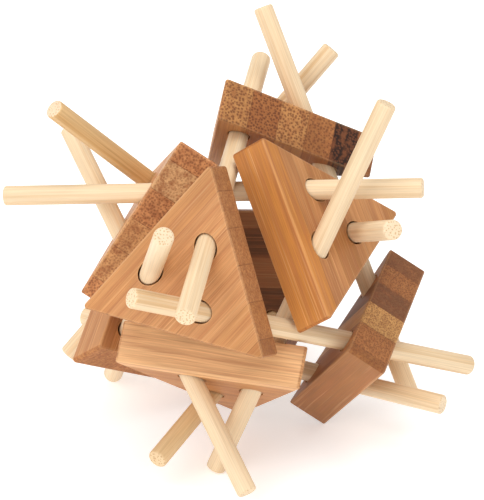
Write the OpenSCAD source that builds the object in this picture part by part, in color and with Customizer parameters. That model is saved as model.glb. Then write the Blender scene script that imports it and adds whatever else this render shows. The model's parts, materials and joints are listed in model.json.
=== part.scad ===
// Interlocking stick puzzle: eight thick triangular plates pinned together by twelve round sticks.
// Two identical frames share one centre. Each frame has four plates, which face the four corners
// of a tetrahedron, and six sticks, one for each pair of plates, which run slanting through both.
// The frames are a quarter turn apart. Where their sticks cross, the sticks of the outer frame
// pass just outside those of the inner frame, so neither frame can leave the other.

/* [Sticks] */
// Diameter of a stick
stick_d = 5; // [4.4:0.1:5.2]
// Length of a stick
stick_len = 106; // [96:1:114]
// Chamfer round both ends of a stick
stick_chamfer = 0.4; // [0.2:0.1:0.8]

/* [Frames] */
// Distance from the centre to the line of each stick of the inner frame
inner_reach = 24.5; // [24:0.1:26]
// Gap where a stick of the outer frame crosses one of the inner frame
crossing_gap = 0.25; // [0.2:0.05:0.5]

/* [Plates] */
// Side of the triangle between its sharp corners
plate_side = 48.6; // [44:0.2:50]
// Thickness of a plate
plate_t = 10.7; // [9:0.1:11.5]
// Radius that eases the three upright corners of a plate
plate_corner_r = 0.8; // [0.4:0.1:2]
// Diameter of the slanting holes, loose on the sticks
hole_d = 5.8; // [5.6:0.1:6]
// Slant of the holes from square to the plate, in degrees
hole_slant = 36.5; // [36:0.1:37]
// Distance from the plate's axis to its sticks at the throat, where they pass closest
throat_r = 6.5; // [6.3:0.1:6.7]
// Height of the throat above the middle of the plate
throat_h = 13.4; // [12.5:0.1:14]
// Turn of the corners past the first stick's throat point, in degrees
corner_turn = 66; // [64:1:68]

/* [How far each stick is pushed towards its first plate] */
// Outer frame, stick through the front and right plates
push_front_right = -3.8; // [-5:0.1:5]
// Outer frame, stick through the front and top plates
push_front_top = 2.7; // [-5:0.1:5]
// Outer frame, stick through the front and back plates
push_front_back = 1.4; // [-5:0.1:5]
// Outer frame, stick through the top and right plates
push_top_right = 7.1; // [-5:0.1:9]
// Outer frame, stick through the top and back plates
push_top_back = 2.5; // [-5:0.1:5]
// Outer frame, stick through the right and back plates
push_right_back = 0.4; // [-5:0.1:5]
// Inner frame, stick through the east and west plates
push_east_west = -4.7; // [-5:0.1:5]
// Inner frame, stick through the east and low plates
push_east_low = 8.4; // [0:0.1:9]
// Inner frame, stick through the east and far plates
push_east_far = -3.9; // [-5:0.1:5]
// Inner frame, stick through the west and low plates
push_west_low = -0.9; // [-5:0.1:5]
// Inner frame, stick through the west and far plates
push_west_far = 6.6; // [-5:0.1:9]
// Inner frame, stick through the low and far plates
push_low_far = -4.6; // [-5:0.1:5]

/* [Stance] */
// Turn of the whole puzzle about the upright, in degrees
facing = 25; // [0:1:60]

/* [Hidden] */
$fn = 64;

PLATE_TAN = [0.80, 0.58, 0.37];
STICK_CREAM = [0.94, 0.85, 0.68];

// Corners of the tetrahedron, by the names of the plates that face them in the outer frame
TOP = [1, 1, 1];
FRONT = [1, -1, -1];
RIGHT = [-1, 1, -1];
BACK = [-1, -1, 1];
// The same corners by the plates of the inner frame, before its quarter turn
EAST = TOP;
WEST = FRONT;
LOW = RIGHT;
FAR = BACK;
CORNERS = [TOP, FRONT, RIGHT, BACK];

// A frame is the distance from the centre to its sticks, and whether it has the quarter turn
INNER = [inner_reach, true];
OUTER = [inner_reach + stick_d + crossing_gap, false];

// A third of a turn, from each hole or corner of a plate to the next, in degrees
THIRD = 120;

function unit(v) = v / norm(v);

// The quarter turn about X that sets the inner frame across the outer one
function turned(frame, v) = frame[1] ? [v.x, v.z, -v.y] : v;

// Lean of a stick from the line between its two plates, so that it passes their axes at throat_r
function lean(reach) = asin(throat_r / sqrt(2 * (reach * reach - throat_r * throat_r)));

// Unit direction of the stick through plates a and b, pointing to a
function stick_dir(frame, a, b) =
    let (between = unit(a - b), outward = unit(a + b), tilt = lean(frame[0]))
    between * cos(tilt) + cross(outward, between) * sin(tilt);

// Point where the stick through plates a and b is nearest to the centre
function stick_mid(frame, a, b) = frame[0] * unit(a + b);

// Point of the stick through plates a and b that is nearest to the axis of plate a
function throat(frame, a, b) =
    let (axis = unit(a), along = stick_dir(frame, a, b), mid = stick_mid(frame, a, b))
    let (rise = along * axis)
    mid + along * ((mid * axis) * rise - mid * along) / (1 - rise * rise);

// The plate that names a plate's first stick: the first other corner in the list
function partner(a) = a == CORNERS[0] ? CORNERS[1] : CORNERS[0];

// Directions of a plate's own X, towards its first stick's throat point, and Z, outwards
function plate_z(a) = unit(a);
function plate_x(frame, a) =
    let (point = throat(frame, a, partner(a)), axis = unit(a))
    unit(point - (point * axis) * axis);

// Distance from the centre to the middle of a plate
function plate_dist(frame, a) = throat(frame, a, partner(a)) * unit(a) - throat_h;

// Middle of the arc at corner k of a plate, in the plate's own plane
corner_out = plate_side / sqrt(3) - 2 * plate_corner_r;
function corner_arc(k) =
    corner_out * [cos(corner_turn + THIRD * k), sin(corner_turn + THIRD * k)];

// A disc is [centre, unit axis, radius]. The discs below bound the plates and sticks
function plate_discs(frame, a) = [
    for (k = [0:2], side = [-1, 1])
        let (x = plate_x(frame, a), z = plate_z(a), arc = corner_arc(k))
        [turned(frame, arc.x * x + arc.y * cross(z, x)
            + (plate_dist(frame, a) + side * plate_t / 2) * z),
         turned(frame, z), plate_corner_r]
];
function stick_discs(frame, a, b, push) = [
    for (end = [-1, 1], rim = [[0, stick_chamfer], [stick_chamfer, 0]])
        let (along = stick_dir(frame, a, b))
        [turned(frame, stick_mid(frame, a, b) + (push + end * (stick_len / 2 - rim[1])) * along),
         turned(frame, along), stick_d / 2 - stick_chamfer + rim[1]]
];

// How far a disc reaches in direction u, and the point of its rim that reaches that far
function disc_reach(disc, u) =
    disc[0] * u + disc[2] * sqrt(max(0, 1 - pow(disc[1] * u, 2)));
function disc_point(disc, u) = disc[0] + disc[2] * unit(u - (u * disc[1]) * disc[1]);
function furthest(discs, u) =
    let (reaches = [for (disc = discs) disc_reach(disc, u)])
    disc_point(discs[search(max(reaches), reaches)[0]], u);

// The puzzle stands on three points: a corner of the right plate, a corner of the back plate
// and the rim of the stick through the east and low plates. Each pass finds the three points
// that lie lowest for one guess at the downward direction, and the plane through them
function settle(down, passes) =
    passes == 0 ? down :
    let (p = furthest(plate_discs(OUTER, RIGHT), down))
    let (q = furthest(plate_discs(OUTER, BACK), down))
    let (r = furthest(stick_discs(INNER, EAST, LOW, push_east_low), down))
    let (normal = unit(cross(q - p, r - p)))
    settle(normal * sign(normal * p), passes - 1);
UP = -settle([-1, 0, 0], 8);

// Level directions: AWAY runs from the front of the puzzle to its back, RIGHTWARD to its right
level_z = unit([0, 0, 1] - UP.z * UP);
AWAY = level_z * cos(facing) + cross(level_z, UP) * sin(facing);
RIGHTWARD = cross(AWAY, UP);

ALL_DISCS = concat(
    [for (a = CORNERS, disc = plate_discs(OUTER, a)) disc],
    [for (a = CORNERS, disc = plate_discs(INNER, a)) disc],
    stick_discs(OUTER, FRONT, RIGHT, push_front_right),
    stick_discs(OUTER, FRONT, TOP, push_front_top),
    stick_discs(OUTER, FRONT, BACK, push_front_back),
    stick_discs(OUTER, TOP, RIGHT, push_top_right),
    stick_discs(OUTER, TOP, BACK, push_top_back),
    stick_discs(OUTER, RIGHT, BACK, push_right_back),
    stick_discs(INNER, EAST, WEST, push_east_west),
    stick_discs(INNER, EAST, LOW, push_east_low),
    stick_discs(INNER, EAST, FAR, push_east_far),
    stick_discs(INNER, WEST, LOW, push_west_low),
    stick_discs(INNER, WEST, FAR, push_west_far),
    stick_discs(INNER, LOW, FAR, push_low_far)
);
function furthest_reach(u) = max([for (disc = ALL_DISCS) disc_reach(disc, u)]);
function box_middle(u) = (furthest_reach(u) - furthest_reach(-u)) / 2;

// From the puzzle's centre to the finished place: standing on Z = 0, centred on the Z axis
function stood(v) = [v * RIGHTWARD, v * AWAY, v * UP];
SHIFT = [-box_middle(RIGHTWARD), -box_middle(AWAY), furthest_reach(-UP)];

// Puts its children, drawn about their own origin, at point o with their axes along x and z
module placed(o, x, z) {
    ax = stood(x);
    az = stood(z);
    ay = cross(az, ax);
    at = stood(o) + SHIFT;
    multmatrix([for (i = [0:2]) [ax[i], ay[i], az[i], at[i]]]) children();
}

// Flat outline of a plate, with its three corners eased
module plate_outline() {
    polygon([for (k = [0:2], side = [-1, 1])
        let (a = corner_turn + THIRD * k, arc = corner_arc(k))
        arc + plate_corner_r * [cos(a + side * THIRD / 2), sin(a + side * THIRD / 2)]]);
    for (k = [0:2]) translate(corner_arc(k)) circle(plate_corner_r);
}

// A plate about its own middle: the slab, less three holes that slant the same way round
module plate_blank() {
    hole_len = 3 * plate_t;
    throat_slide = throat_h / cos(hole_slant);
    difference() {
        translate([0, 0, -plate_t / 2]) linear_extrude(plate_t) plate_outline();
        for (k = [0:2]) rotate(THIRD * k)
            translate([throat_r, 0, throat_h]) rotate([hole_slant, 0, 0])
            translate([0, 0, -throat_slide]) cylinder(d = hole_d, h = hole_len, center = true);
    }
}

module plate(frame, a) {
    color(PLATE_TAN)
    placed(turned(frame, plate_dist(frame, a) * plate_z(a)),
        turned(frame, plate_x(frame, a)), turned(frame, plate_z(a)))
    plate_blank();
}

// A stick about its own middle: a round rod with a small chamfer at each end
module stick_blank() {
    r = stick_d / 2;
    half = stick_len / 2;
    rotate_extrude() polygon([
        [0, -half], [r - stick_chamfer, -half], [r, -half + stick_chamfer],
        [r, half - stick_chamfer], [r - stick_chamfer, half], [0, half]
    ]);
}

module stick(frame, a, b, push) {
    along = stick_dir(frame, a, b);
    color(STICK_CREAM)
    placed(turned(frame, stick_mid(frame, a, b) + push * along),
        turned(frame, unit(a + b)), turned(frame, along))
    stick_blank();
}

module outer_front_plate() { plate(OUTER, FRONT); }
module outer_top_plate() { plate(OUTER, TOP); }
module outer_right_plate() { plate(OUTER, RIGHT); }
module outer_back_plate() { plate(OUTER, BACK); }
module inner_east_plate() { plate(INNER, EAST); }
module inner_west_plate() { plate(INNER, WEST); }
module inner_low_plate() { plate(INNER, LOW); }
module inner_far_plate() { plate(INNER, FAR); }
module outer_stick_front_right() { stick(OUTER, FRONT, RIGHT, push_front_right); }
module outer_stick_front_top() { stick(OUTER, FRONT, TOP, push_front_top); }
module outer_stick_front_back() { stick(OUTER, FRONT, BACK, push_front_back); }
module outer_stick_top_right() { stick(OUTER, TOP, RIGHT, push_top_right); }
module outer_stick_top_back() { stick(OUTER, TOP, BACK, push_top_back); }
module outer_stick_right_back() { stick(OUTER, RIGHT, BACK, push_right_back); }
module inner_stick_east_west() { stick(INNER, EAST, WEST, push_east_west); }
module inner_stick_east_low() { stick(INNER, EAST, LOW, push_east_low); }
module inner_stick_east_far() { stick(INNER, EAST, FAR, push_east_far); }
module inner_stick_west_low() { stick(INNER, WEST, LOW, push_west_low); }
module inner_stick_west_far() { stick(INNER, WEST, FAR, push_west_far); }
module inner_stick_low_far() { stick(INNER, LOW, FAR, push_low_far); }

outer_front_plate();
outer_top_plate();
outer_right_plate();
outer_back_plate();
inner_east_plate();
inner_west_plate();
inner_low_plate();
inner_far_plate();
outer_stick_front_right();
outer_stick_front_top();
outer_stick_front_back();
outer_stick_top_right();
outer_stick_top_back();
outer_stick_right_back();
inner_stick_east_west();
inner_stick_east_low();
inner_stick_east_far();
inner_stick_west_low();
inner_stick_west_far();
inner_stick_low_far();
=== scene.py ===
import json
import math
import random

import bmesh
import bpy
from mathutils import Matrix, Vector


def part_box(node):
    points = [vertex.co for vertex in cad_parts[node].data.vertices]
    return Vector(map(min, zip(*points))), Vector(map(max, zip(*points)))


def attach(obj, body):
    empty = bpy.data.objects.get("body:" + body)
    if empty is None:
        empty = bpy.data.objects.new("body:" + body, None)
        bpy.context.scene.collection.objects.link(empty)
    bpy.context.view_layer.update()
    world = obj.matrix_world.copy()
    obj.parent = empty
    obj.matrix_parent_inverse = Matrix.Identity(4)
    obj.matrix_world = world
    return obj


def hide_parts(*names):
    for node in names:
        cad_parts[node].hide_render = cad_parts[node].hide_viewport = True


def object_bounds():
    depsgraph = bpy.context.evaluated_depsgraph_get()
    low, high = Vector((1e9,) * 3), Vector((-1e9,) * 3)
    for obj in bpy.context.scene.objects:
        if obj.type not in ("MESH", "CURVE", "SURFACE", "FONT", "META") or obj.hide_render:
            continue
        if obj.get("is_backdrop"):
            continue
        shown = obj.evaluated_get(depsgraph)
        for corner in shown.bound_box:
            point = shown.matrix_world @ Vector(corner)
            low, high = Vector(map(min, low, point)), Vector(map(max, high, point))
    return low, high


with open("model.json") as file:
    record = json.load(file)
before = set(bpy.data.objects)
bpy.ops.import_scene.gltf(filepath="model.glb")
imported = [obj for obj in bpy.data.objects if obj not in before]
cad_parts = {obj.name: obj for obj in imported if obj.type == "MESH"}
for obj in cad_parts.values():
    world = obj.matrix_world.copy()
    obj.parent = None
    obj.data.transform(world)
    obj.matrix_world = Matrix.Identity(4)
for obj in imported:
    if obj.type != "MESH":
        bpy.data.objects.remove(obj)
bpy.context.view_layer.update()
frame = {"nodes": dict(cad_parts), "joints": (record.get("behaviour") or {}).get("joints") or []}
MM = 0.001


# ---------------------------------------------------------------------------------------------
# THE LINES OF THE TWELVE STICKS
# Each stick runs slanting through two plates. Its slide in the record gives the way it points,
# towards the plate named first, and the middle of its box is the middle of the stick.

STICKS = {}
for slide in frame["joints"]:
    node = slide["child"]
    low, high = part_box(node)
    STICKS[node] = ((low + high) / 2, Vector(slide["axis"]).normalized())


# ---------------------------------------------------------------------------------------------
# THE PLATES
# Eight equal triangles, sawn from board that is glued up from steamed bamboo strips set side by
# side. The corners are eased on a belt sander, the edges are broken by hand, and three holes
# are drilled at a slant, all leaning the same way round.

plate_side = 48.6 * MM
plate_thick = 10.7 * MM
plate_corner_r = 0.8 * MM
plate_edge_r = 0.35 * MM
hole_r = 2.9 * MM
hole_slant = math.radians(36.5)
throat_r = 6.5 * MM
throat_h = 13.4 * MM
# how far a plate's first corner lies from its first hole, going round the plate's axis
corner_turn = math.radians(66)
THIRD = math.tau / 3


def plate_place(plate):
    """Matrix of a plate: middle of the slab, Z outwards, X to the corner by its first hole."""
    frame_name, own = plate.split("_")[:2]
    # each plate's first hole takes the stick that it shares with this other plate
    first = {"outer": "top", "inner": "east"}[frame_name]
    partner = {"top": "front", "east": "west"}.get(own, first)
    lines = []
    for name, (middle, along) in STICKS.items():
        ends = name.split("_")[2:]
        if name.startswith(frame_name) and own in ends:
            outward = along if ends[0] == own else -along
            lines.insert(0 if partner in ends else len(lines), (middle, outward))
    axis = sum((outward for middle, outward in lines), Vector()).normalized()
    # the point nearest to all three lines lies on the plate's axis
    pull = Matrix(((0, 0, 0), (0, 0, 0), (0, 0, 0)))
    target = Vector()
    for middle, outward in lines:
        across = Matrix.Identity(3) - Matrix([[a * b for b in outward] for a in outward])
        pull = Matrix([[pull[i][j] + across[i][j] for j in range(3)] for i in range(3)])
        target += across @ middle
    centre = pull.inverted() @ target
    heights = [vertex.co.dot(axis) for vertex in frame["nodes"][plate].data.vertices]
    mid_height = (min(heights) + max(heights)) / 2
    centre += axis * (mid_height - centre.dot(axis))
    middle, outward = lines[0]
    rise = outward.dot(axis)
    away = middle - centre
    step = (away.dot(axis) * rise - away.dot(outward)) / (1 - rise * rise)
    x = away + outward * step
    x = (x - axis * x.dot(axis)).normalized()
    y = axis.cross(x)
    place = Matrix((x, y, axis)).transposed().to_4x4()
    place.translation = centre
    return place @ Matrix.Rotation(corner_turn, 4, "Z")


def plate_ring(inset):
    """The triangle seen from above, drawn in from its edge by an inset, corners eased."""
    arc_steps = 8
    side_steps = 20
    corner_out = plate_side / math.sqrt(3) - 2 * plate_corner_r
    radius = plate_corner_r - inset
    points = []
    for corner in range(3):
        heading = corner * THIRD
        for step in range(arc_steps + 1):
            turn = heading + THIRD * (step / arc_steps - 0.5)
            points.append((
                corner_out * math.cos(heading) + radius * math.cos(turn),
                corner_out * math.sin(heading) + radius * math.sin(turn),
            ))
        here = points[-1]
        following = heading + THIRD
        turn = following - THIRD / 2
        there = (
            corner_out * math.cos(following) + radius * math.cos(turn),
            corner_out * math.sin(following) + radius * math.sin(turn),
        )
        for step in range(1, side_steps):
            part = step / side_steps
            points.append((
                here[0] + (there[0] - here[0]) * part,
                here[1] + (there[1] - here[1]) * part,
            ))
    return points


def hole_ring(hole, height, flare):
    """The rim of a slanting hole at one height: an ellipse, opened out by its flare."""
    rim_steps = 72
    across = hole_r + flare
    lengthwise = hole_r / math.cos(hole_slant) + flare
    centre_y = (throat_h - height) * math.tan(hole_slant)
    turn = hole * THIRD - corner_turn
    points = []
    for step in range(rim_steps):
        angle = math.tau * step / rim_steps
        x = throat_r + across * math.cos(angle)
        y = centre_y + lengthwise * math.sin(angle)
        points.append((
            x * math.cos(turn) - y * math.sin(turn),
            x * math.sin(turn) + y * math.cos(turn),
        ))
    return points


def plate_mesh(name):
    """A plate about its own middle, with every edge broken and every hole's rim eased."""
    half = plate_thick / 2
    rim_r = 0.14 * MM
    settle = 0.25 * MM
    wear_depth = 0.10 * MM
    quarter = [math.radians(angle) for angle in (90, 60, 30, 0)]
    wear = random.Random(name)
    phases = [wear.uniform(0, math.tau) for wave in range(6)]
    plate = bmesh.new()
    # this layer marks the broken edges and hole rims: real wear, made uneven below, and a
    # painted highlight that pales their colour
    worn_and_sheen = plate.verts.layers.float.new("worn_and_sheen")
    # this layer marks the walls of the holes, where painted light pales the colour to lift the
    # shade inside them
    bore_painted_light = plate.verts.layers.float.new("bore_painted_light")

    def lay(points, height, worn_and_sheen_by, bore_painted_light_by):
        ring = []
        for x, y in points:
            vertex = plate.verts.new((x, y, height))
            vertex[worn_and_sheen] = worn_and_sheen_by
            vertex[bore_painted_light] = bore_painted_light_by
            ring.append(vertex)
        return ring

    def skin(upper, lower, smooth=True):
        count = len(upper)
        for here in range(count):
            there = (here + 1) % count
            face = plate.faces.new((upper[here], lower[here], lower[there], upper[there]))
            face.smooth = smooth

    def edge_rings(side):
        rings = [lay(plate_ring(plate_edge_r + settle), side * half, 0, 0)]
        for angle in quarter:
            inset = plate_edge_r * (1 - math.cos(angle))
            height = half - plate_edge_r * (1 - math.sin(angle))
            # the broken edge: full painted highlight in the colour
            rings.append(lay(plate_ring(inset), side * height, 1, 0))
        rings.append(lay(plate_ring(0), side * (half - plate_edge_r - settle), 0, 0))
        return rings

    def rim_rings(hole, side):
        rings = [lay(hole_ring(hole, side * half, rim_r + settle), side * half, 0, 0)]
        for angle in quarter:
            flare = rim_r * (1 - math.cos(angle))
            height = side * (half - rim_r * (1 - math.sin(angle)))
            # the eased rim: some painted highlight and a little painted light; the wall below
            # it: full painted light
            rings.append(lay(hole_ring(hole, height, flare), height, 0.6, 0.2))
        height = side * (half - 2 * rim_r)
        rings.append(lay(hole_ring(hole, height, 0), height, 0, 1))
        return rings

    for side in (1, -1):
        loops = []
        for rings in [edge_rings(side)] + [rim_rings(hole, side) for hole in range(3)]:
            for outer, inner in zip(rings, rings[1:]):
                skin(outer, inner)
            loops.append(rings)
        if side > 0:
            upper_loops = loops
        lids = []
        for rings in loops:
            ring = rings[0]
            lids += [plate.edges.get((ring[i], ring[i - 1])) for i in range(len(ring))]
        bmesh.ops.triangle_fill(plate, use_beauty=True, edges=lids)
    for upper, lower in zip(upper_loops, loops):
        skin(upper[-1], lower[-1])
    # hands and the sander leave the broken edges a little uneven
    for vertex in plate.verts:
        if vertex[worn_and_sheen] > 0.9:
            turn = math.atan2(vertex.co.y, vertex.co.x)
            waves = sum(math.sin(turn * (3 + 4 * i) + phases[i]) for i in range(6)) / 6
            pull = wear_depth * (0.5 + 0.5 * waves)
            flat = Vector((vertex.co.x, vertex.co.y, 0)).normalized()
            vertex.co -= flat * pull * (abs(vertex.co.z) > half - 0.9 * plate_edge_r)
    bmesh.ops.recalc_face_normals(plate, faces=plate.faces)
    mesh = bpy.data.meshes.new(name)
    plate.to_mesh(mesh)
    plate.free()
    return mesh


def add_node(tree, kind, inputs, **settings):
    """Adds a node. An input is a plain value or another node's output."""
    node = tree.nodes.new("ShaderNode" + kind)
    for name, value in settings.items():
        setattr(node, name, value)
    for socket, value in inputs.items():
        if isinstance(value, bpy.types.NodeSocket):
            tree.links.new(value, node.inputs[socket])
        else:
            node.inputs[socket].default_value = value
    return node


def reckon(tree, operation, a, b=0.0):
    return add_node(tree, "Math", {0: a, 1: b}, operation=operation).outputs[0]


def ease(tree, value, low, high, to_low=0.0, to_high=1.0):
    """Turns a value between low and high into one between to_low and to_high, smoothly."""
    bounds = {"Value": value, 1: low, 2: high, 3: to_low, 4: to_high}
    return add_node(tree, "MapRange", bounds, interpolation_type="SMOOTHSTEP").outputs[0]


def stain(tree, amount, under, over, how="MIX"):
    """Lays one colour over another by an amount."""
    rgb_sockets = {0: amount, 6: under, 7: over}
    return add_node(
        tree, "Mix", rgb_sockets, data_type="RGBA", blend_type=how).outputs[2]


def stretched(tree, place, along, across, through):
    """The same place with its three directions drawn out or packed, in waves per mm."""
    packed = {"Vector": place, "Scale": (along, across, through)}
    return add_node(tree, "Mapping", packed).outputs[0]


def cloud(tree, place, detail=2.0, roughness=0.5):
    """Soft random blotches between 0 and 1."""
    return add_node(tree, "TexNoise", {
        "Vector": place, "Scale": 1.0, "Detail": detail, "Roughness": roughness,
    })


BUNDLE_BROWN = (0.14, 0.045, 0.018, 1)
RED_FIBRE = (0.38, 0.135, 0.050, 1)
PALE_FIBRE = (0.90, 0.58, 0.30, 1)
TONES = {
    "straw": (0.77, 0.445, 0.212, 0.25),
    "peach": (0.54, 0.256, 0.102, 0.25),
    "caramel": (0.52, 0.240, 0.088, 0.25),
    # a darkened caramel, partly the strip's own tone and partly painted shade for plate faces
    # that lie in shade
    "cinnamon_shaded": (0.42, 0.180, 0.058, 0.25),
    "brass": (0.51, 0.203, 0.046, 0.25),
    "biscuit": (0.66, 0.350, 0.150, 0.30),
    "tan": (0.59, 0.300, 0.112, 0.70),
    "sand": (0.67, 0.400, 0.195, 0.22),
    "golden": (0.66, 0.375, 0.140, 0.45),
    "rust": (0.62, 0.285, 0.118, 0.50),
    "russet": (0.45, 0.185, 0.064, 0.90),
    "redbrown": (0.45, 0.195, 0.068, 0.60),
    "chestnut": (0.35, 0.148, 0.050, 0.40),
    "smoke": (0.25, 0.113, 0.050, 0.50),
    "walnut": (0.29, 0.125, 0.050, 0.50),
    # near-black brown: the far inner plate's own dark tone, darkened further as painted shade
    # for the shadow deep inside the puzzle
    "bog_shaded": (0.135, 0.058, 0.026, 0.40),
    "umber": (0.034, 0.014, 0.008, 0.60),
}


def bamboo_board(name, grain_turn, life, bundles, strips, seed):
    """Board of steamed bamboo. Its grain runs at grain_turn across the plate, with so many
    bundles of fibre to the mm. The strips are (where it ends, tone), from the corner that
    points across the grain to the far side."""
    material = bpy.data.materials.new(name)
    material.use_nodes = True
    tree = material.node_tree
    tree.nodes.clear()
    place = add_node(tree, "TexCoord", {})
    board = add_node(tree, "Mapping", {
        "Vector": place.outputs["Object"],
        "Rotation": (0, 0, -grain_turn),
        "Scale": (1 / MM, 1 / MM, 1 / MM),
    }).outputs[0]
    across, through = add_node(tree, "SeparateXYZ", {"Vector": board}).outputs[1:]
    facing = add_node(tree, "VectorMath", {
        0: place.outputs["Normal"],
        1: (math.cos(grain_turn), math.sin(grain_turn), 0),
    }, operation="DOT_PRODUCT").outputs["Value"]
    end_grain = ease(tree, reckon(tree, "ABSOLUTE", facing), 0.05, 0.50)

    # strips, from one side of the plate to the other
    corner_out = plate_side / math.sqrt(3) / MM
    width = 1.5 * corner_out
    spot = reckon(tree, "DIVIDE", reckon(tree, "ADD", across, corner_out), width)
    ramp = add_node(tree, "ValToRGB", {"Fac": spot})
    ramp.color_ramp.interpolation = "CONSTANT"
    start = 0.0
    joint = 0.0
    joint_width = 0.0045
    for index, (end, tone) in enumerate(strips):
        stop = ramp.color_ramp.elements[0] if index == 0 else ramp.color_ramp.elements.new(start)
        stop.position = start
        stop.color = TONES[tone]
        if index:
            gap = reckon(tree, "ABSOLUTE", reckon(tree, "SUBTRACT", spot, start))
            near = ease(tree, gap, 0.0, joint_width, 1.0, 0.0)
            joint = reckon(tree, "MAXIMUM", joint, near)
        start = end
    ramp.color_ramp.elements.remove(ramp.color_ramp.elements[-1])
    tone = ramp.outputs["Color"]
    dottiness = ramp.outputs["Alpha"]

    # the bundles of fibre: dots on sawn ends, streaks along the grain
    shifted = add_node(tree, "Mapping", {
        "Vector": board,
        "Location": (seed * 37.0, 0, 0),
    }).outputs[0]
    wander = cloud(tree, stretched(tree, shifted, 0.035, 0.06, 0.06), 1.0).outputs["Color"]
    sway = add_node(tree, "SeparateXYZ", {"Vector": wander}).outputs
    across_now = reckon(tree, "ADD", across, reckon(tree, "MULTIPLY", sway[0], 2.4))
    through_now = reckon(tree, "ADD", through, reckon(tree, "MULTIPLY", sway[1], 2.4))
    stack = add_node(tree, "CombineXYZ", {
        0: across_now,
        1: reckon(tree, "ADD", through_now, seed * 11.3),
    }).outputs[0]
    cells = add_node(tree, "TexVoronoi", {
        "Vector": stack, "Scale": bundles, "Randomness": 0.9,
    }, voronoi_dimensions="2D")
    luck = add_node(tree, "SeparateXYZ", {"Vector": cells.outputs["Color"]}).outputs
    dot_r = ease(tree, luck[0], 0.0, 1.0, 0.18, 0.36)
    inside = reckon(tree, "SUBTRACT", dot_r, cells.outputs["Distance"])
    dot = ease(tree, inside, -0.12, 0.10)
    halo = ease(tree, inside, -0.30, -0.02)

    # fibres, broad reddish stripes and thin pale lines
    fine = cloud(tree, stretched(tree, shifted, 0.09, 4.8, 4.8), 3.0, 0.65).outputs["Fac"]
    broad = cloud(tree, stretched(tree, shifted, 0.022, 0.75, 0.5), 3.0).outputs["Fac"]
    thin = cloud(tree, stretched(tree, shifted, 0.03, 2.6, 1.9), 2.0).outputs["Fac"]
    mottled = cloud(tree, stretched(tree, shifted, 0.3, 0.9, 0.9), 3.0, 0.7).outputs["Fac"]
    patchy = cloud(tree, stretched(tree, shifted, 0.05, 0.12, 0.12), 2.0).outputs["Fac"]

    long_grain = reckon(tree, "SUBTRACT", 1.0, end_grain)
    reddened = ease(tree, broad, 0.44, 0.70, 0.0, 0.85 * life)
    colour = stain(tree, reddened, tone, RED_FIBRE)
    paled = reckon(tree, "MULTIPLY", ease(tree, thin, 0.56, 0.74, 0.0, 0.42 * life), long_grain)
    colour = stain(tree, paled, colour, PALE_FIBRE)
    light = ease(tree, fine, 0.25, 0.75, 0.84, 1.12)
    light = reckon(tree, "MULTIPLY", light, ease(tree, patchy, 0.25, 0.75, 0.90, 1.08))
    grey = add_node(tree, "CombineXYZ", {0: light, 1: light, 2: light}).outputs[0]
    colour = stain(tree, 1.0, colour, grey, "MULTIPLY")
    flecks = ease(tree, thin, 0.35, 0.55, 0.10, 0.32)
    colour = stain(tree, reckon(tree, "MULTIPLY", dot, flecks), colour, RED_FIBRE)
    dulled = ease(tree, mottled, 0.3, 0.7, 0.0, 1.0)
    dull = stain(tree, dulled, (0.72, 0.62, 0.55, 1), (0.92, 0.86, 0.78, 1))
    sawn = stain(tree, 1.0, colour, dull, "MULTIPLY")
    ringed = reckon(tree, "MULTIPLY", reckon(tree, "MULTIPLY", halo, dottiness), 0.35)
    sawn = stain(tree, ringed, sawn, BUNDLE_BROWN)
    dotted = reckon(tree, "MULTIPLY", reckon(tree, "MULTIPLY", dot, dottiness), 0.85)
    sawn = stain(tree, dotted, sawn, BUNDLE_BROWN)
    colour = stain(tree, end_grain, colour, sawn)
    seen = ease(tree, end_grain, 0.0, 1.0, 0.28, 0.55)
    colour = stain(tree, reckon(tree, "MULTIPLY", joint, seen), colour, BUNDLE_BROWN)
    edge = add_node(tree, "Attribute", {}, attribute_name="worn_and_sheen").outputs["Fac"]
    bore_light = add_node(tree, "Attribute", {}, attribute_name="bore_painted_light").outputs["Fac"]
    # painted highlight: the broken edges and hole rims are paled a little towards PALE_FIBRE
    colour = stain(tree, reckon(tree, "MULTIPLY", edge, 0.12), colour, PALE_FIBRE)
    # painted light: the walls of the holes are paled strongly towards PALE_FIBRE, lifting the
    # shade inside them
    colour = stain(tree, reckon(tree, "MULTIPLY", bore_light, 0.6), colour, PALE_FIBRE)

    rough = reckon(tree, "ADD", ease(tree, fine, 0.2, 0.8, 0.46, 0.60),
                   reckon(tree, "MULTIPLY", end_grain, 0.12))
    pores = reckon(tree, "MULTIPLY", dot, reckon(tree, "ADD", end_grain, 0.15))
    relief = reckon(tree, "SUBTRACT", reckon(tree, "MULTIPLY", fine, 0.5), pores)
    bump = add_node(tree, "Bump", {"Height": relief, "Strength": 0.35, "Distance": 0.09 * MM})
    surface = add_node(tree, "BsdfPrincipled", {
        "Base Color": colour,
        "Roughness": rough,
        "Normal": bump.outputs["Normal"],
        "Specular IOR Level": 0.25,
    })
    add_node(tree, "OutputMaterial", {"Surface": surface.outputs["BSDF"]})
    return material


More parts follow.
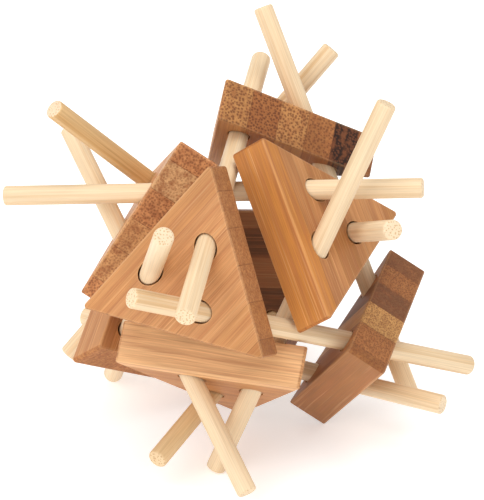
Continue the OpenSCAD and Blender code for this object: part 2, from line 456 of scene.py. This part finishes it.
# For each plate: the side that its grain runs along, how lively its grain is, how close its
# bundles lie, and its strips
BOARDS = {
    # its first strip, the darkened caramel, is partly painted shade
    "outer_front_plate": (2, 0.55, 1.6, [
        (0.10, "cinnamon_shaded"), (0.29, "caramel"), (0.48, "peach"),
        (0.67, "peach"), (0.86, "peach"), (1, "caramel")]),
    "outer_top_plate": (1, 0.6, 1.3, [
        (0.14, "walnut"), (0.29, "umber"), (0.46, "redbrown"),
        (0.64, "tan"), (0.82, "russet"), (1, "tan")]),
    "outer_right_plate": (0, 0.4, 1.7, [
        (0.16, "walnut"), (0.34, "redbrown"), (0.53, "smoke"),
        (0.73, "golden"), (0.93, "redbrown"), (1, "chestnut")]),
    "outer_back_plate": (1, 0.7, 1.4, [
        (0.20, "caramel"), (0.38, "peach"), (0.57, "caramel"),
        (0.75, "peach"), (0.93, "caramel"), (1, "peach")]),
    # the darkened caramel strips on this plate's face are partly painted shade
    "inner_east_plate": (2, 0.65, 1.5, [
        (0.14, "cinnamon_shaded"), (0.33, "caramel"), (0.52, "caramel"),
        (0.71, "cinnamon_shaded"), (0.79, "caramel"), (0.89, "redbrown"), (1, "brass")]),
    "inner_west_plate": (0, 0.8, 1.45, [
        (0.12, "rust"), (0.30, "sand"), (0.49, "rust"),
        (0.67, "biscuit"), (0.87, "biscuit"), (1, "rust")]),
    "inner_low_plate": (2, 0.6, 1.5, [
        (0.17, "caramel"), (0.35, "peach"), (0.54, "caramel"),
        (0.72, "peach"), (0.91, "caramel"), (1, "straw")]),
    # deep inside the puzzle: its darkest strips are partly painted shade
    "inner_far_plate": (1, 0.25, 1.5, [
        (0.15, "bog_shaded"), (0.34, "walnut"), (0.52, "bog_shaded"),
        (0.71, "walnut"), (0.89, "bog_shaded"), (1, "walnut")]),
}
for seed, (node, (side, life, bundles, strips)) in enumerate(BOARDS.items()):
    board_name = node.replace("plate", "board")
    grain_turn = side * THIRD + math.pi / 2
    board = bpy.data.objects.new(board_name, plate_mesh(board_name))
    bpy.context.scene.collection.objects.link(board)
    board.matrix_world = plate_place(node)
    board.data.materials.append(
        bamboo_board("bamboo_" + board_name, grain_turn, life, bundles, strips, seed + 1))
    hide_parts(node)
    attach(board, "plates")


# ---------------------------------------------------------------------------------------------
# THE STICKS
# Pale bamboo rod, turned from the thick wall of the culm, cut to one length and tumbled, so
# that the ends are softly rounded. The cut ends show the fibre bundles as dots. One is golden.

stick_r = 2.5 * MM
stick_half = 53 * MM


def stick_mesh(name):
    """A rod about its own middle, never quite straight-sided or round."""
    sides = 64
    end_r = 0.6 * MM
    dome = 0.02 * MM
    wave_length = 7 * MM
    unevenness = 0.006
    quarter = [math.radians(angle) for angle in (90, 68, 45, 22, 0)]
    luck = random.Random(name)
    phases = [luck.uniform(0, math.tau) for wave in range(6)]
    profile = [(0.0, stick_half - dome), (stick_r * 0.45, stick_half)]
    for angle in quarter:
        profile.append((
            stick_r - end_r * (1 - math.cos(angle)),
            stick_half - end_r * (1 - math.sin(angle)),
        ))
    end_count = len(profile)
    steps = 36
    straight = stick_half - end_r
    profile += [(stick_r, straight * (1 - 2 * step / steps)) for step in range(1, steps)]
    profile += [(radius, -height) for radius, height in reversed(profile[:end_count])]
    rod = bmesh.new()
    rings = []
    for radius, height in profile:
        if radius == 0:
            rings.append([rod.verts.new((0, 0, height))])
            continue
        ring = []
        for side in range(sides):
            turn = math.tau * side / sides
            place = height / wave_length
            waves = (
                math.sin(2 * turn + 0.11 * place + phases[0])
                + math.sin(3 * turn - 0.17 * place + phases[1])
                + math.sin(0.5 * place + phases[2])
                + 0.6 * math.sin(9 * turn + 0.05 * place + phases[3])
            ) / 3.6
            shrunk = radius * (1 - unevenness * (1 + waves))
            ring.append(rod.verts.new((
                shrunk * math.cos(turn), shrunk * math.sin(turn), height)))
        rings.append(ring)
    for upper, lower in zip(rings, rings[1:]):
        for side in range(sides):
            after = (side + 1) % sides
            if len(upper) == 1:
                rod.faces.new((upper[0], lower[side], lower[after]))
            elif len(lower) == 1:
                rod.faces.new((upper[side], lower[0], upper[after]))
            else:
                rod.faces.new((upper[side], lower[side], lower[after], upper[after]))
    for face in rod.faces:
        face.smooth = True
    bmesh.ops.recalc_face_normals(rod, faces=rod.faces)
    mesh = bpy.data.meshes.new(name)
    rod.to_mesh(mesh)
    rod.free()
    return mesh


# pith, long fibres, the dots of a cut end, and the ground between them
CREAM = (
    (0.81, 0.625, 0.405, 1), (0.68, 0.45, 0.235, 1),
    (0.52, 0.30, 0.135, 1), (0.80, 0.62, 0.40, 1),
)
IVORY = (
    (0.83, 0.65, 0.435, 1), (0.71, 0.49, 0.27, 1),
    (0.54, 0.32, 0.145, 1), (0.82, 0.64, 0.43, 1),
)
TANNED = (
    (0.75, 0.53, 0.29, 1), (0.60, 0.37, 0.17, 1),
    (0.42, 0.22, 0.09, 1), (0.76, 0.55, 0.32, 1),
)
GOLDEN = (
    (0.74, 0.49, 0.235, 1), (0.55, 0.31, 0.11, 1),
    (0.56, 0.33, 0.16, 1), (0.82, 0.62, 0.42, 1),
)


def bamboo_rod(name, colours, lines, seed):
    """Rod of bare bamboo, with fine lines along it and dots on its cut ends."""
    pith, fibre, bundle, end_ground = colours
    material = bpy.data.materials.new(name)
    material.use_nodes = True
    tree = material.node_tree
    tree.nodes.clear()
    place = add_node(tree, "TexCoord", {})
    rod = add_node(tree, "Mapping", {
        "Vector": place.outputs["Object"],
        "Location": (seed * 13.0, seed * 7.0, seed * 29.0),
        "Scale": (1 / MM, 1 / MM, 1 / MM),
    }).outputs[0]
    upright = add_node(tree, "SeparateXYZ", {"Vector": place.outputs["Normal"]}).outputs[2]
    cut_end = ease(tree, reckon(tree, "ABSOLUTE", upright), 0.55, 0.9)
    wander = cloud(tree, stretched(tree, rod, 0.05, 0.05, 0.03), 1.0).outputs["Color"]
    swayed = add_node(tree, "VectorMath", {0: wander, 1: (1.6, 1.6, 0), 2: rod},
                      operation="MULTIPLY_ADD").outputs[0]
    cells = add_node(tree, "TexVoronoi", {
        "Vector": swayed, "Scale": 1.35, "Randomness": 0.85,
    }, voronoi_dimensions="2D")
    luck = add_node(tree, "SeparateXYZ", {"Vector": cells.outputs["Color"]}).outputs
    dot_r = ease(tree, luck[0], 0.0, 1.0, 0.16, 0.30)
    dot = ease(tree, reckon(tree, "SUBTRACT", dot_r, cells.outputs["Distance"]), -0.07, 0.07)
    fine = cloud(tree, stretched(tree, rod, 5.0, 5.0, 0.05), 3.0, 0.6).outputs["Fac"]
    broad = cloud(tree, stretched(tree, rod, 0.8, 0.8, 0.012), 2.0).outputs["Fac"]
    blotch = cloud(tree, stretched(tree, rod, 0.2, 0.2, 0.04), 2.0).outputs["Fac"]

    colour = stain(tree, ease(tree, broad, 0.42, 0.70, 0.0, 0.75 * lines), pith, fibre)
    colour = stain(tree, reckon(tree, "MULTIPLY", dot, 0.30 * lines), colour, fibre)
    light = ease(tree, fine, 0.25, 0.75, 0.86, 1.08)
    light = reckon(tree, "MULTIPLY", light, ease(tree, blotch, 0.25, 0.75, 0.94, 1.05))
    grey = add_node(tree, "CombineXYZ", {0: light, 1: light, 2: light}).outputs[0]
    colour = stain(tree, 1.0, colour, grey, "MULTIPLY")
    sawn = stain(tree, 1.0, end_ground, grey, "MULTIPLY")
    sawn = stain(tree, reckon(tree, "MULTIPLY", dot, 0.72), sawn, bundle)
    colour = stain(tree, cut_end, colour, sawn)

    rough = ease(tree, fine, 0.2, 0.8, 0.42, 0.56)
    relief = reckon(tree, "SUBTRACT", fine, reckon(tree, "MULTIPLY", dot, cut_end))
    bump = add_node(tree, "Bump", {"Height": relief, "Strength": 0.3, "Distance": 0.06 * MM})
    surface = add_node(tree, "BsdfPrincipled", {
        "Base Color": colour,
        "Roughness": rough,
        "Normal": bump.outputs["Normal"],
        "Specular IOR Level": 0.35,
    })
    add_node(tree, "OutputMaterial", {"Surface": surface.outputs["BSDF"]})
    return material


# The colour of each rod, and how strongly its long lines show
RODS = {
    "outer_stick_front_right": (CREAM, 1.5),
    "outer_stick_front_top": (CREAM, 0.8),
    "outer_stick_front_back": (IVORY, 0.7),
    "outer_stick_top_right": (CREAM, 0.7),
    "outer_stick_top_back": (CREAM, 1.2),
    "outer_stick_right_back": (IVORY, 1.1),
    "inner_stick_east_west": (CREAM, 0.9),
    "inner_stick_east_low": (CREAM, 0.8),
    "inner_stick_east_far": (IVORY, 0.8),
    "inner_stick_west_low": (CREAM, 0.8),
    "inner_stick_west_far": (GOLDEN, 1.0),
    "inner_stick_low_far": (TANNED, 0.9),
}
for seed, (node, (colours, lines)) in enumerate(RODS.items()):
    rod_name = node.replace("stick", "rod")
    rod = bpy.data.objects.new(rod_name, stick_mesh(rod_name))
    bpy.context.scene.collection.objects.link(rod)
    middle, along = STICKS[node]
    turned = along.to_track_quat("Z", "Y").to_matrix().to_4x4()
    rod.matrix_world = Matrix.Translation(middle) @ turned
    rod.data.materials.append(bamboo_rod("bamboo_" + rod_name, colours, lines, seed + 1))
    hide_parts(node)
    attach(rod, node)


# ---------------------------------------------------------------------------------------------
# THE FLOOR AND THE LIGHT
# A wide white sheet under the puzzle, lit all round, with a broad soft lamp high on the left
# and a weaker one above. The shadows are faint and have no edge.

floor_half = 3.0
sheet = bmesh.new()
corners = [(-1, -1), (1, -1), (1, 1), (-1, 1)]
sheet.faces.new([sheet.verts.new((floor_half * x, floor_half * y, 0)) for x, y in corners])
floor_mesh = bpy.data.meshes.new("floor")
sheet.to_mesh(floor_mesh)
sheet.free()
floor = bpy.data.objects.new("floor", floor_mesh)
bpy.context.scene.collection.objects.link(floor)
paper = bpy.data.materials.new("white_paper")
paper.use_nodes = True
paper_surface = paper.node_tree.nodes["Principled BSDF"]
paper_surface.inputs["Base Color"].default_value = (0.93, 0.93, 0.93, 1)
paper_surface.inputs["Roughness"].default_value = 0.9
paper_surface.inputs["Specular IOR Level"].default_value = 0.0
paper_surface.inputs["Emission Color"].default_value = (1, 1, 1, 1)
paper_surface.inputs["Emission Strength"].default_value = 0.34
floor_mesh.materials.append(paper)
floor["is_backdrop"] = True

studio = bpy.data.worlds.new("studio")
studio.use_nodes = True
studio.node_tree.nodes["Background"].inputs["Color"].default_value = (1, 1, 1, 1)
studio.node_tree.nodes["Background"].inputs["Strength"].default_value = 0.74
bpy.context.scene.world = studio

box_middle = sum((Vector(corner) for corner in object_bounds()), Vector()) / 2
LAMPS = {
    "left_softbox": ((-0.65, -0.80, 0.90), 1.2, 8.5),
    "top_softbox": ((0.15, -0.1, 1.2), 0.8, 5.0),
}
for name, (offset, width, power) in LAMPS.items():
    lamp_data = bpy.data.lights.new(name, "AREA")
    lamp_data.shape = "DISK"
    lamp_data.size = width
    lamp_data.energy = power
    lamp = bpy.data.objects.new(name, lamp_data)
    lamp.location = box_middle + Vector(offset)
    lamp.rotation_mode = "QUATERNION"
    lamp.rotation_quaternion = Vector(offset).to_track_quat("Z", "Y")
    bpy.context.scene.collection.objects.link(lamp)


# ---------------------------------------------------------------------------------------------
# THE CAMERA
# A long lens a little above the puzzle, looking at its middle, held very slightly askew.

camera_data = bpy.data.cameras.new("camera")
camera_data.sensor_width = 36
camera_data.lens = 216
camera_data.clip_start = 0.05
camera_data.clip_end = 20
camera = bpy.data.objects.new("camera", camera_data)
azimuth = math.radians(-0.57)
elevation = math.radians(26.63)
roll = math.radians(-0.50)
camera_away = 0.756
swing = Matrix.Rotation(azimuth, 4, "Z") @ Matrix.Rotation(math.pi / 2 - elevation, 4, "X")
aim = Vector((0.00035, 0, 0.05))
camera.matrix_world = (
    Matrix.Translation(aim) @ swing @ Matrix.Translation((0, 0, camera_away))
    @ Matrix.Rotation(roll, 4, "Z"))
bpy.context.scene.collection.objects.link(camera)
bpy.context.scene.camera = camera
bpy.context.scene.view_settings.view_transform = "Standard"
